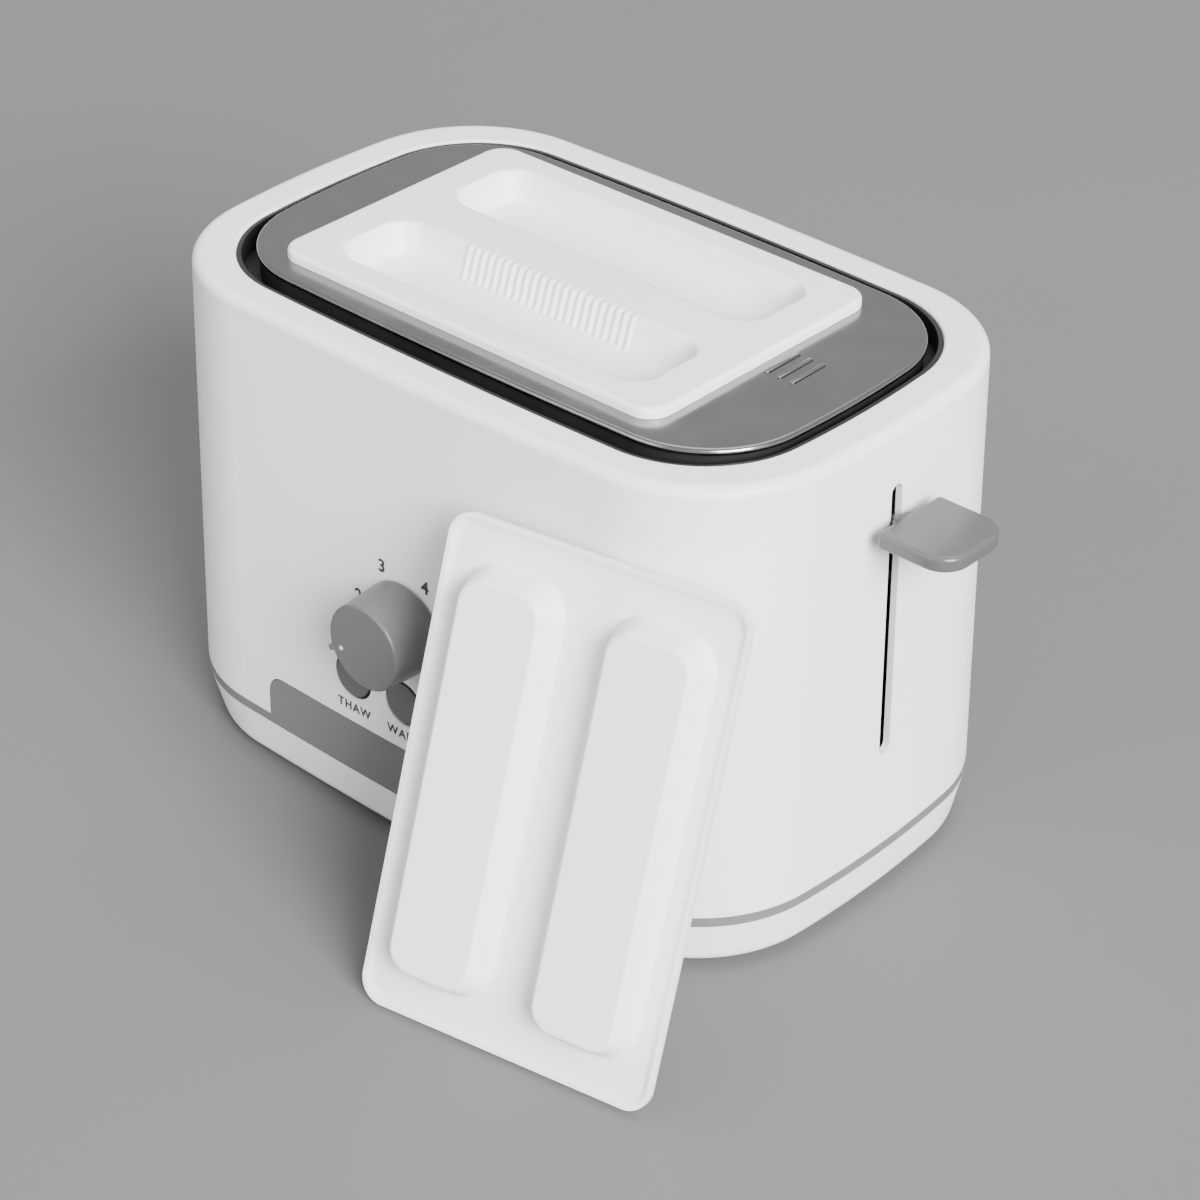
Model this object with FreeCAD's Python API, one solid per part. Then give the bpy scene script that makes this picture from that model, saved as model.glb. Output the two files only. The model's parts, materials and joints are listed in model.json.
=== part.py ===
import FreeCAD, Part
import os
from math import atan2, cos, hypot, pi, radians, sin, sqrt

# Two-slice pop-up toaster with a lift-off dust cover.
# Millimetres. Origin on the worktop, under the middle of the body. +Z up.
# The front, with the browning knob and buttons, faces -Y. The lever end is +X.

# ---- driving dimensions: body ---------------------------------------------
FOOT_HEIGHT = 3.0
BASE_BOTTOM = FOOT_HEIGHT
BAND_LOW = 19.8
BAND_HIGH = 23.3
PANEL_HIGH = 39.4
RIM_TOP = 178.0
HALF_LENGTH = 130.4
HALF_WIDTH = 82.7
DRAFT_LENGTH = 2.15
DRAFT_WIDTH = 1.6
CORNER = 49.0
END_BULGE_RADIUS = 393.0
SIDE_BULGE_RADIUS = 2270.0
WALL = 2.4
RIM_ROUND = 3.6
RIM_INNER_ROUND = 1.0
BASE_DRAFT = 2.5
BASE_TAPER_LEFT = 5.0
BASE_TAPER_RIGHT = 3.0
BASE_ROUND = 4.0
BASE_FLOOR = 2.5
FLOOR_TOP = BASE_BOTTOM + BASE_FLOOR
FIT_GAP = 0.3
SHUT_GAP = 0.1
RUNNING = 0.05
CUT_REACH = 14.0
FOOT_RADIUS = 8.0
FOOT_PLACES = [(sx * 104.0, sy * 43.0) for sx in (1, -1) for sy in (1, -1)]
SCREW_PLACES = [(sx * 98.0, sy * 60.0) for sx in (1, -1) for sy in (1, -1)]
BOSS_RADIUS = 5.0
BOSS_TOP = 52.0
PILLAR_RADIUS = 6.0
PILLAR_TOP = 23.6
SCREW_RADIUS = 1.9
SCREW_HEAD_RADIUS = 3.6
SCREW_SEAT = 14.0
VENT_COUNT = 7
VENT_PITCH = 14.0
VENT_Y = 62.0
VENT_HALF_LENGTH = 5.0
VENT_HALF_WIDTH = 1.5
GLAND_X = -60.0
GLAND_Z = 12.5
GLAND_RADIUS = 5.5
GLAND_COLLAR = 7.2
GLAND_NOSE = 4.6
GLAND_BORE = 3.2
GLAND_LENGTH = 10.0
GLAND_NOSE_LENGTH = 6.0

# ---- driving dimensions: top ----------------------------------------------
OPENING_HALF_LENGTH = 114.4
OPENING_HALF_WIDTH = 68.9
OPENING_CORNER = 40.0
LIP_DEPTH = 12.0
LIP_WALL = 2.0
PLATE_TOP = 180.0
PLATE_HALF_LENGTH = 110.0
PLATE_HALF_WIDTH = 62.6
PLATE_CORNER = 36.5
PLATE_SHIFT = 0.9
PLATE_DEPTH = 2.0
PLATE_ROUND = 1.3
SHEET = 0.8
COLLAR_LOW = 166.2
COLLAR_FLOOR = 3.0
COLLAR_TOP = 177.2
COLLAR_WALL = 1.4
COLLAR_GAP = 0.25
UPSTAND_INSET = 1.1
UPSTAND_WALL = 2.4
SLOT_FLANGE = 8.0
SLOT_CENTRE_X = -4.8
SLOT_HALF_LENGTH = 68.0
SLOT_HALF_WIDTH = 18.6
SLOT_Y = 26.2
SLOT_CORNER = 12.0

# ---- driving dimensions: dust cover ---------------------------------------
COVER_SKIRT = 3.4
COVER_TOP = PLATE_TOP + COVER_SKIRT
COVER_HALF_LENGTH = 80.6
COVER_HALF_WIDTH = 52.9
COVER_CORNER = 8.5
COVER_SKIN = 2.4
COVER_BORDER = 2.0
COVER_ROUND = 1.5
TROUGH_HALF_LENGTH = 65.4
TROUGH_HALF_WIDTH = 16.0
TROUGH_DEPTH = 10.5
TROUGH_SLOPE = 2.4
TROUGH_CORNER = 9.5
TROUGH_SKIN = 1.9
TROUGH_ROUND = 2.4
RIB_COUNT = 23
RIB_PITCH = 3.2
RIB_RADIUS = 0.85
RIB_SHARE = 0.84
LEAN_ANGLE = 20.4
LEAN_YAW = 9.3
LEAN_CENTRE = (88.9, -109.6)
LEAN_REST = 0.3

# ---- driving dimensions: controls -----------------------------------------
KNOB_X = -1.75
KNOB_Z = 88.4
KNOB_RADIUS = 16.0
KNOB_LENGTH = 17.6
KNOB_GAP = 0.9
KNOB_TAPER = 1.0
SHAFT_RADIUS = 3.0
SHAFT_REACH = 12.5
SHAFT_CLEAR = 2.0
KNOB_WALL = 3.0
KNOB_HUB = 5.5
KNOB_HOLLOW = 11.0
KNOB_ROUND = 1.0
POINTER_HALF = 0.9
POINTER_LENGTH = 9.0
POINTER_DEPTH = 4.5
POINTER_PROUD = 0.5
POINTER_ANGLE = 112.0
BUTTON_X = (-25.7, -2.4, 20.9)
BUTTON_NAMES = ("defrost_button", "reheat_button", "cancel_button")
BUTTON_Z = 57.8
BUTTON_RADIUS = 7.4
BUTTON_HOLE = 8.4
BUTTON_PROUD = 0.6
FRONT_FACE = 82.1
KNOB_BACK = -FRONT_FACE - KNOB_GAP
PANEL_HALF_LENGTH = 67.5
PANEL_CORNER = 7.0
PANEL_REACH = 5.0

# ---- driving dimensions: lever and carriage -------------------------------
LEVER_SLOT_LOW = 59.2
LEVER_SLOT_HIGH = 157.9
LEVER_SLOT_HALF = 2.6
LEVER_TOP = 149.6
LEVER_THICK = 5.2
LEVER_INNER = 133.0
LEVER_OUTER = 160.6
LEVER_HALF_WIDTH = 15.5
ARM_LOW = 139.0
ARM_HIGH = 146.0
ARM_HALF = 1.8
ARM_END = LEVER_INNER + 6.0
PADDLE_CORNER = 9.5
PADDLE_INNER_CORNER = 2.0
PADDLE_TOP_ROUND = 1.6
PADDLE_LOW_ROUND = 1.0
NECK_HALF = 4.4
NECK_ROUND = 1.2
NECK_INNER = LEVER_INNER - 2.4
NECK_OUTER = LEVER_INNER + 14.0
TRAVEL_DOWN = 72.0
TRAVEL_UP = 9.0
ROD_X = 89.0
ROD_Y = 16.0
ROD_RADIUS = 2.5
ROD_LOW = 15.0
ROD_HIGH = 164.0
BUSH_RADIUS = 4.0
BRACKET_X = 80.0
BRACKET_LOW = 92.0
BRACKET_SHEET = 1.5
SPRING_X = 86.0
SPRING_Y = 28.0
SPRING_RADIUS = 3.2
SPRING_WIRE = 0.5
SPRING_LOW = 104.0
SPRING_TURNS = 26
FLANGE_LOW = 18.0
FLANGE_HIGH = 160.0
SHELF_REACH = ROD_X + 7.0
SHELF_HALF = 34.0
SHELF_THICK = 1.2

# ---- driving dimensions: oven ---------------------------------------------
CAGE_LEFT = -84.0
CAGE_RIGHT = 72.8
CAGE_HALF = 48.2
PLATE_LEG = 60.0
CAGE_LOW = 24.0
CAGE_HIGH = 165.0
BOARD_LOW = 34.0
BOARD_HIGH = 156.0
OUTER_BOARD_Y = 45.4
INNER_BOARD_Y = 5.6
RACK_LOW = 96.0
RACK_HIGH = 101.0
RACK_HALF = 0.9
RACK_CLEAR = 2.4
FINGER_COUNT = 8
FINGER_PITCH = 16.0
FINGER_LENGTH = 7.5
FINGER_HALF = 1.2
RIBBON_COUNT = 9
RIBBON_PITCH = 13.0
RIBBON_WIDTH = 1.8
RIBBON_THICK = 0.3
RIBBON_INSET = 2.0
RIBBON_LIFT = 9.0
GUIDE_MARGIN = 3.0
PIVOT_REACH = 1.4
GUIDE_PIVOT_Z = 40.0
GUIDE_TOP_Z = 159.0
GUIDE_INSET = 15.5
GUIDE_WIRES = 10
WIRE = 0.8
LEG_PLACES = [(x, sy * 55.0) for x in (CAGE_LEFT + 7.0, CAGE_RIGHT - 6.0) for sy in (1, -1)]
LEG_SCREW_RADIUS = 1.5
LEG_SCREW_HEAD = 3.0
LEG_WIDTH = 10.0
LEG_REACH = 12.0

# ---- driving dimensions: crumb tray -----------------------------------------
TRAY_LEFT = -121.0
TRAY_RIGHT = 77.0
TRAY_HALF = 45.0
TRAY_LOW = 6.4
TRAY_HIGH = 14.0
TRAY_GAP = 1.4
RUNNER_GAP = 2.0
RUNNER_THICK = 2.0
RUNNER_TOP = 12.0
RUNNER_LEFT = CAGE_LEFT - 18.0
RUNNER_RIGHT = CAGE_RIGHT + 6.0
DOOR_LOW = 5.9
DOOR_HIGH = 17.0
DOOR_GAP = 0.4
SCOOP_RADIUS = 7.0
SCOOP_HALF = 18.0
SCOOP_X = -131.4
SCOOP_Z = 4.6

# ---- driving dimensions: circuit board ---------------------------------------
BOARD_X = (-46.0, 42.0)
BOARD_Z = (42.0, 106.0)
BOARD_FRONT = -66.0
BOARD_THICK = 1.6
BOARD_BACK = BOARD_FRONT + BOARD_THICK
BOARD_INSET = 5.0
BOARD_SCREW_X = (BOARD_X[0] + BOARD_INSET, BOARD_X[1] - BOARD_INSET)
BOARD_SCREW_Z = (BOARD_Z[0] + BOARD_INSET, BOARD_Z[1] - BOARD_INSET)
BOARD_SCREW_PLACES = [(x, z) for x in BOARD_SCREW_X for z in BOARD_SCREW_Z]
BOARD_HOLE = 1.6
BOARD_SCREW = 1.25
STANDOFF_RADIUS = 3.0
POT_FACE = -73.0
POT_RADIUS = 8.5
SOCKET_DEPTH = 5.0
FRAME_FRONT = -78.9
FRAME_BACK = -77.0
FRAME_MARGIN = 13.0
FRAME_HALF_HEIGHT = 11.5
SLEEVE_BACK = -75.5
SLEEVE_SINK = 0.4
BUTTON_BACK = -73.4
BUTTON_ROUND = 0.5
SWITCH_HALF = 3.2
SWITCH_DEPTH = 3.6

# ---- driving dimensions: latch and power -------------------------------------
MAGNET_X = 106.0
MAGNET_FLOOR = 7.0
MAGNET_TOP = BRACKET_LOW + 1.0 - TRAVEL_DOWN
ARMATURE_THICK = 2.0
CONTACT_SEAT = 19.0
TERMINAL_TOP = 17.0
CORE_HALF_LENGTH = 3.0
CORE_HALF_WIDTH = 3.5
LUG_HEIGHTS = (BRACKET_LOW + 3.0, ARM_LOW)
LUG_HALF = 21.0
STRAP_HALF = 33.0

UP = FreeCAD.Vector(0, 0, 1)
ACROSS = FreeCAD.Vector(0, 1, 0)


# ---- small helpers ---------------------------------------------------------
def vec(x, y, z):
    return FreeCAD.Vector(x, y, z)


def box(x0, x1, y0, y1, z0, z1):
    return Part.makeBox(x1 - x0, y1 - y0, z1 - z0, vec(x0, y0, z0))


def rod(radius, start, end):
    start = vec(*start)
    end = vec(*end)
    return Part.makeCylinder(radius, (end - start).Length, start, end - start)


def tube(outer, inner, start, end):
    return rod(outer, start, end).cut(rod(inner, start, end))


def write(name, shapes):
    shapes = shapes if isinstance(shapes, list) else [shapes]
    shape = shapes[0] if len(shapes) == 1 else Part.makeCompound(shapes)
    if not shape.isValid():
        raise ValueError(name + " is not a valid solid")
    shape.exportStep("parts/" + name + ".step")
    print(name, len(shape.Solids), round(shape.Volume / 1000, 2), "cm3")


def round_edges(shape, radius, chosen):
    edges = [edge for edge in shape.Edges if chosen(edge.BoundBox)]
    return shape.makeFillet(radius, edges)


def flat_at(z):
    return lambda b: abs(b.ZMin - z) < 0.01 and abs(b.ZMax - z) < 0.01


# ---- outlines --------------------------------------------------------------
def bulged_outline(half_x, half_y, corner, z, inset=0.0, shift=0.0):
    """Rounded rectangle whose four sides bow outwards, as eight tangent arcs."""
    a = half_x - inset
    b = half_y - inset
    r = corner - inset
    end_radius = END_BULGE_RADIUS - inset
    side_radius = SIDE_BULGE_RADIUS - inset
    end_centre = (a - end_radius, 0.0)
    side_centre = (0.0, b - side_radius)
    reach_end = end_radius - r
    reach_side = side_radius - r
    dx = side_centre[0] - end_centre[0]
    dy = side_centre[1] - end_centre[1]
    gap = hypot(dx, dy)
    run = (reach_end ** 2 - reach_side ** 2 + gap ** 2) / (2 * gap)
    rise = sqrt(reach_end ** 2 - run ** 2)
    choices = []
    for sign in (1, -1):
        cx = end_centre[0] + (run * dx - sign * rise * dy) / gap
        cy = end_centre[1] + (run * dy + sign * rise * dx) / gap
        choices.append((cx, cy))
    cx, cy = max(choices, key=lambda c: min(c))
    end_angle = atan2(cy - end_centre[1], cx - end_centre[0])
    side_angle = atan2(cy - side_centre[1], cx - side_centre[0])
    middle = (end_angle + side_angle) / 2
    join_end = (cx + r * cos(end_angle), cy + r * sin(end_angle))
    join_side = (cx + r * cos(side_angle), cy + r * sin(side_angle))
    mid_corner = (cx + r * cos(middle), cy + r * sin(middle))

    def point(pair, sx, sy):
        return vec(shift + sx * pair[0], sy * pair[1], z)

    arcs = []
    for sx, sy in ((1, 1), (-1, 1), (-1, -1), (1, -1)):
        arcs.append((point(join_end, sx, sy), point(mid_corner, sx, sy), point(join_side, sx, sy)))
    for sx in (1, -1):
        arcs.append((point(join_end, sx, -1), point((a, 0), sx, 1), point(join_end, sx, 1)))
    for sy in (1, -1):
        arcs.append((point(join_side, 1, sy), point((0, b), 1, sy), point(join_side, -1, sy)))
    edges = [Part.Arc(*arc).toShape() for arc in arcs]
    return Part.Wire(Part.__sortEdges__(edges))


def rounded_rectangle(half_x, half_y, corner, centre_x, centre_y, z):
    x0, x1 = centre_x - half_x, centre_x + half_x
    y0, y1 = centre_y - half_y, centre_y + half_y
    edges = []
    turn = corner * (1 - cos(pi / 4))
    for px, py, sx, sy in ((x1, y1, 1, 1), (x0, y1, -1, 1), (x0, y0, -1, -1), (x1, y0, 1, -1)):
        start = vec(px, py - sy * corner, z)
        middle = vec(px - sx * turn, py - sy * turn, z)
        end = vec(px - sx * corner, py, z)
        edges.append(Part.Arc(start, middle, end).toShape())
    for y in (y0, y1):
        edges.append(Part.makeLine(vec(x0 + corner, y, z), vec(x1 - corner, y, z)))
    for x in (x0, x1):
        edges.append(Part.makeLine(vec(x, y0 + corner, z), vec(x, y1 - corner, z)))
    return Part.Wire(Part.__sortEdges__(edges))


def loft(*wires):
    return Part.makeLoft(list(wires), True, True)


def prism(wire, height):
    return Part.Face(wire).extrude(vec(0, 0, height))


def body_outline(z, inset=0.0):
    """The outside of the body at a height between the band and the rim."""
    share = (z - BAND_HIGH) / (RIM_TOP - BAND_HIGH)
    half_x = HALF_LENGTH - DRAFT_LENGTH * share
    half_y = HALF_WIDTH - DRAFT_WIDTH * share
    return bulged_outline(half_x, half_y, CORNER, z, inset)


def opening_prism(z0, z1, inset=0.0):
    wire = bulged_outline(OPENING_HALF_LENGTH, OPENING_HALF_WIDTH, OPENING_CORNER, z0, inset)
    return prism(wire, z1 - z0)


def panel_prism(gap):
    """The front panel's face area, as a block that cuts the front wall."""
    half = PANEL_HALF_LENGTH + gap
    top = PANEL_HIGH + gap
    low = BAND_HIGH - 1.0
    corner = PANEL_CORNER
    turn = corner * (1 - cos(pi / 4))
    y = -HALF_WIDTH - PANEL_REACH
    edges = [Part.makeLine(vec(-half, y, low), vec(half, y, low))]
    edges.append(Part.makeLine(vec(-half + corner, y, top), vec(half - corner, y, top)))
    for s in (1, -1):
        edges.append(Part.makeLine(vec(s * half, y, low), vec(s * half, y, top - corner)))
        start = vec(s * half, y, top - corner)
        middle = vec(s * (half - turn), y, top - turn)
        edges.append(Part.Arc(start, middle, vec(s * (half - corner), y, top)).toShape())
    face = Part.Face(Part.Wire(Part.__sortEdges__(edges)))
    return face.extrude(ACROSS * (PANEL_REACH + CUT_REACH))


# ---- casing ----------------------------------------------------------------
def outer_shell():
    outer = loft(body_outline(BAND_HIGH), body_outline(RIM_TOP))
    outer = round_edges(outer, RIM_ROUND, flat_at(RIM_TOP))
    lip_low = RIM_TOP - LIP_DEPTH
    outer = outer.cut(opening_prism(lip_low, RIM_TOP + 1))
    reach_x = OPENING_HALF_LENGTH + 1
    reach_y = OPENING_HALF_WIDTH + 1

    def inner_edge(b):
        inside = max(-b.XMin, b.XMax) < reach_x and max(-b.YMin, b.YMax) < reach_y
        return flat_at(RIM_TOP)(b) and inside

    outer = round_edges(outer, RIM_INNER_ROUND, inner_edge)
    cavity = loft(body_outline(BAND_HIGH - 1, WALL), body_outline(RIM_TOP - WALL, WALL))
    cavity = round_edges(cavity, RIM_ROUND - WALL, flat_at(RIM_TOP - WALL))
    lip = opening_prism(lip_low, RIM_TOP, -LIP_WALL)
    shell = outer.cut(cavity.cut(lip)).cut(opening_prism(lip_low - 1, lip_low + 1))
    low = LEVER_SLOT_LOW + LEVER_SLOT_HALF
    high = LEVER_SLOT_HIGH - LEVER_SLOT_HALF
    inner, beyond = HALF_LENGTH - CUT_REACH, HALF_LENGTH + CUT_REACH
    slot = box(inner, beyond, -LEVER_SLOT_HALF, LEVER_SLOT_HALF, low, high)
    for z in (low, high):
        slot = slot.fuse(rod(LEVER_SLOT_HALF, (inner, 0, z), (beyond, 0, z)))
    shell = shell.cut(slot)
    front, behind = -HALF_WIDTH - CUT_REACH, -HALF_WIDTH + CUT_REACH
    shell = shell.cut(rod(SHAFT_RADIUS + SHAFT_CLEAR, (KNOB_X, front, KNOB_Z), (KNOB_X, behind, KNOB_Z)))
    for x in BUTTON_X:
        shell = shell.cut(rod(BUTTON_HOLE, (x, front, BUTTON_Z), (x, behind, BUTTON_Z)))
    shell = shell.cut(panel_prism(FIT_GAP))
    outside = loft(body_outline(BAND_HIGH), body_outline(RIM_TOP))
    for x, y in SCREW_PLACES:
        side = 1 if y > 0 else -1
        y0, y1 = sorted((y, y + side * HALF_WIDTH))
        boss = rod(BOSS_RADIUS, (x, y, BAND_HIGH + 1), (x, y, BOSS_TOP))
        web = box(x - 1, x + 1, y0, y1, BAND_HIGH + 3, BOSS_TOP)
        bore = rod(SCREW_RADIUS, (x, y, BAND_HIGH), (x, y, BOSS_TOP - 6))
        shell = shell.fuse(boss.fuse(web.common(outside)).cut(bore))
    return shell.removeSplitter()


def trim_band():
    """The grey band round the foot of the shell, with the taller panel on the front."""
    top = BAND_HIGH - SHUT_GAP
    band = loft(band_outline(BAND_LOW), band_outline(top))
    band = band.cut(loft(band_outline(BAND_LOW - 1, WALL), band_outline(BAND_HIGH + 1, WALL)))
    wall = loft(body_outline(top), body_outline(PANEL_HIGH + 2))
    wall = wall.cut(loft(body_outline(BAND_HIGH - 1, WALL), body_outline(PANEL_HIGH + 3, WALL)))
    panel = wall.common(panel_prism(0.0))
    return band.fuse(panel).removeSplitter()


def band_outline(z, inset=0.0):
    return bulged_outline(HALF_LENGTH, HALF_WIDTH, CORNER, z, inset)


def foot_outline(z, inset=0.0):
    """The base's lower outline, drawn in most at the end that the crumb tray pulls out of."""
    half_x = HALF_LENGTH - (BASE_TAPER_LEFT + BASE_TAPER_RIGHT) / 2
    shift = (BASE_TAPER_LEFT - BASE_TAPER_RIGHT) / 2
    return bulged_outline(half_x, HALF_WIDTH - BASE_DRAFT, CORNER, z, inset, shift)


def base_outside():
    outside = loft(foot_outline(BASE_BOTTOM), band_outline(BAND_LOW - SHUT_GAP))
    return round_edges(outside, BASE_ROUND, flat_at(BASE_BOTTOM))


def base_shell():
    outside = base_outside()
    inside = loft(foot_outline(FLOOR_TOP, WALL), band_outline(BAND_LOW, WALL))
    base = outside.cut(inside)
    for y in (-TRAY_HALF - RUNNER_GAP - RUNNER_THICK, TRAY_HALF + RUNNER_GAP):
        runner = box(RUNNER_LEFT, RUNNER_RIGHT, y, y + RUNNER_THICK, FLOOR_TOP - 1, RUNNER_TOP)
        base = base.fuse(runner)
    for x, y in SCREW_PLACES:
        base = base.fuse(rod(PILLAR_RADIUS, (x, y, BASE_BOTTOM), (x, y, PILLAR_TOP)))
        base = base.cut(rod(SCREW_HEAD_RADIUS + 0.6, (x, y, BASE_BOTTOM - 1), (x, y, SCREW_SEAT)))
        base = base.cut(rod(SCREW_RADIUS + 0.2, (x, y, BASE_BOTTOM), (x, y, PILLAR_TOP + 1)))
    for x, y in FOOT_PLACES:
        base = base.cut(rod(FOOT_RADIUS, (x, y, BASE_BOTTOM - 1), (x, y, BASE_BOTTOM + 1)))
    for x, y in LEG_PLACES:
        base = base.cut(rod(LEG_SCREW_RADIUS, (x, y, BASE_BOTTOM - 1), (x, y, FLOOR_TOP + 1)))
    half = TRAY_HALF + TRAY_GAP
    low, high = DOOR_LOW - DOOR_GAP, DOOR_HIGH + DOOR_GAP
    base = base.cut(box(-HALF_LENGTH - 1, TRAY_LEFT + CUT_REACH, -half, half, low, high))
    front, behind = HALF_WIDTH - CUT_REACH, HALF_WIDTH + CUT_REACH
    base = base.cut(rod(GLAND_RADIUS, (GLAND_X, front, GLAND_Z), (GLAND_X, behind, GLAND_Z)))
    for index in range(VENT_COUNT):
        x = VENT_PITCH * (index - (VENT_COUNT - 1) / 2)
        for y in (-VENT_Y, VENT_Y):
            vent = box(x - VENT_HALF_LENGTH, x + VENT_HALF_LENGTH, y - VENT_HALF_WIDTH, y + VENT_HALF_WIDTH,
                       BASE_BOTTOM - 1, FLOOR_TOP + 1)
            base = base.cut(vent)
    return base.removeSplitter()


def rubber_feet():
    feet = []
    for x, y in FOOT_PLACES:
        foot = rod(FOOT_RADIUS, (x, y, 0), (x, y, BASE_BOTTOM + 1))
        feet.append(round_edges(foot, 1.0, flat_at(0)))
    return feet


def base_screws():
    screws = []
    for x, y in SCREW_PLACES:
        head = rod(SCREW_HEAD_RADIUS, (x, y, SCREW_SEAT - 2.5), (x, y, SCREW_SEAT))
        screws.append(head.fuse(rod(SCREW_RADIUS, (x, y, SCREW_SEAT - 1), (x, y, BOSS_TOP - 12))))
    return screws


def cord_gland():
    """Bush in the rear wall of the base that a mains lead leaves through."""
    face = HALF_WIDTH + SHUT_GAP
    inner, outer = face - GLAND_LENGTH, face + GLAND_NOSE_LENGTH
    bush = rod(GLAND_RADIUS, (GLAND_X, inner, GLAND_Z), (GLAND_X, face, GLAND_Z))
    flange = rod(GLAND_COLLAR, (GLAND_X, face - SHUT_GAP, GLAND_Z), (GLAND_X, face + WALL, GLAND_Z))
    nose = rod(GLAND_NOSE, (GLAND_X, face, GLAND_Z), (GLAND_X, outer, GLAND_Z))
    bore = rod(GLAND_BORE, (GLAND_X, inner - 1, GLAND_Z), (GLAND_X, outer + 1, GLAND_Z))
    return bush.fuse(flange).fuse(nose).cut(bore)


# ---- crumb tray ------------------------------------------------------------
def crumb_tray():
    tray = box(TRAY_LEFT, TRAY_RIGHT, -TRAY_HALF, TRAY_HALF, TRAY_LOW, TRAY_HIGH)
    inside = box(TRAY_LEFT + SHEET, TRAY_RIGHT - SHEET, -TRAY_HALF + SHEET, TRAY_HALF - SHEET,
                 TRAY_LOW + SHEET, TRAY_HIGH + 1)
    return tray.cut(inside)


def crumb_tray_handle():
    """Plastic front of the tray, flush with the skin of the base, with a finger scoop under it."""
    block = box(-HALF_LENGTH - 1, TRAY_LEFT, -TRAY_HALF, TRAY_HALF, DOOR_LOW, DOOR_HIGH)
    front = base_outside().common(block)
    scoop = rod(SCOOP_RADIUS, (SCOOP_X, -SCOOP_HALF, SCOOP_Z), (SCOOP_X, SCOOP_HALF, SCOOP_Z))
    hollow = box(TRAY_LEFT - WALL, TRAY_LEFT + 1, -TRAY_HALF + WALL, TRAY_HALF - WALL,
                 DOOR_LOW + WALL, DOOR_HIGH - WALL)
    return front.cut(scoop).cut(hollow)


# ---- top -------------------------------------------------------------------
def plate_outline(z, inset=0.0):
    return bulged_outline(PLATE_HALF_LENGTH, PLATE_HALF_WIDTH, PLATE_CORNER, z, inset, PLATE_SHIFT)


def bread_slot(z0, z1, side, grow=0.0):
    wire = rounded_rectangle(SLOT_HALF_LENGTH + grow, SLOT_HALF_WIDTH + grow, SLOT_CORNER + grow,
                             SLOT_CENTRE_X, side * SLOT_Y, z0)
    return prism(wire, z1 - z0)


def top_plate():
    low = PLATE_TOP - PLATE_DEPTH
    outer = round_edges(prism(plate_outline(low), PLATE_DEPTH), PLATE_ROUND, flat_at(PLATE_TOP))
    under = prism(plate_outline(low - 1, SHEET), PLATE_DEPTH + 1 - SHEET)
    under = round_edges(under, PLATE_ROUND - SHEET, flat_at(PLATE_TOP - SHEET))
    plate = outer.cut(under)
    for side in (1, -1):
        flange = bread_slot(PLATE_TOP - SLOT_FLANGE, PLATE_TOP - SHEET / 2, side, SHEET)
        plate = plate.fuse(flange)
    for side in (1, -1):
        plate = plate.cut(bread_slot(PLATE_TOP - SLOT_FLANGE - 1, PLATE_TOP + 1, side))
    return plate.removeSplitter()


def top_collar():
    """Black channel round the opening: a wall that lines the rim, a floor, and an upstand under the plate."""
    floor_top = COLLAR_LOW + COLLAR_FLOOR
    channel = opening_prism(COLLAR_LOW, COLLAR_TOP, COLLAR_GAP)
    channel = channel.cut(opening_prism(floor_top, COLLAR_TOP + 1, COLLAR_GAP + COLLAR_WALL))
    upstand_height = PLATE_TOP - SHEET - RUNNING - COLLAR_LOW
    collar = channel.fuse(prism(plate_outline(COLLAR_LOW, UPSTAND_INSET), upstand_height))
    middle = plate_outline(COLLAR_LOW - 1, UPSTAND_INSET + UPSTAND_WALL)
    collar = collar.cut(prism(middle, upstand_height + 2))
    return collar.removeSplitter()


def cover_blank():
    """One dust cover in place on the plate, with its two troughs hanging into the bread slots."""
    low = COVER_TOP - COVER_SKIRT
    wire = rounded_rectangle(COVER_HALF_LENGTH, COVER_HALF_WIDTH, COVER_CORNER, SLOT_CENTRE_X, 0, low)
    cover = round_edges(prism(wire, COVER_SKIRT), COVER_ROUND, flat_at(COVER_TOP))
    wire = rounded_rectangle(COVER_HALF_LENGTH - COVER_BORDER, COVER_HALF_WIDTH - COVER_BORDER,
                             COVER_CORNER - COVER_BORDER, SLOT_CENTRE_X, 0, low - 1)
    cover = cover.cut(prism(wire, COVER_SKIRT + 1 - COVER_SKIN))
    for side in (1, -1):
        cover = cover.fuse(trough(side, TROUGH_SKIN, TROUGH_SKIN, 0.0))
    for side in (1, -1):
        cover = cover.cut(trough(side, 0.0, 0.0, 1.0))
    for side in (1, -1):
        for index in range(RIB_COUNT):
            x = SLOT_CENTRE_X + RIB_PITCH * (index - (RIB_COUNT - 1) / 2)
            cover = cover.fuse(grip_rib(x, side))
    return cover.removeSplitter()


def trough(side, grow, below, above):
    """Tapered trough: grow widens it, below lowers its floor, above carries it past the top."""
    slope = TROUGH_SLOPE / TROUGH_DEPTH
    y = side * SLOT_Y
    top = COVER_TOP + above
    floor = COVER_TOP - TROUGH_DEPTH - below
    wide = grow + slope * above
    narrow = grow - slope * (TROUGH_DEPTH + below)
    if above == 0.0:
        top = COVER_TOP - COVER_ROUND
        wide = grow - slope * COVER_ROUND
    shape = loft(
        rounded_rectangle(TROUGH_HALF_LENGTH + narrow, TROUGH_HALF_WIDTH + narrow, TROUGH_CORNER + narrow,
                          SLOT_CENTRE_X, y, floor),
        rounded_rectangle(TROUGH_HALF_LENGTH + wide, TROUGH_HALF_WIDTH + wide, TROUGH_CORNER + wide,
                          SLOT_CENTRE_X, y, top))
    return round_edges(shape, TROUGH_ROUND, flat_at(floor))


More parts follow.
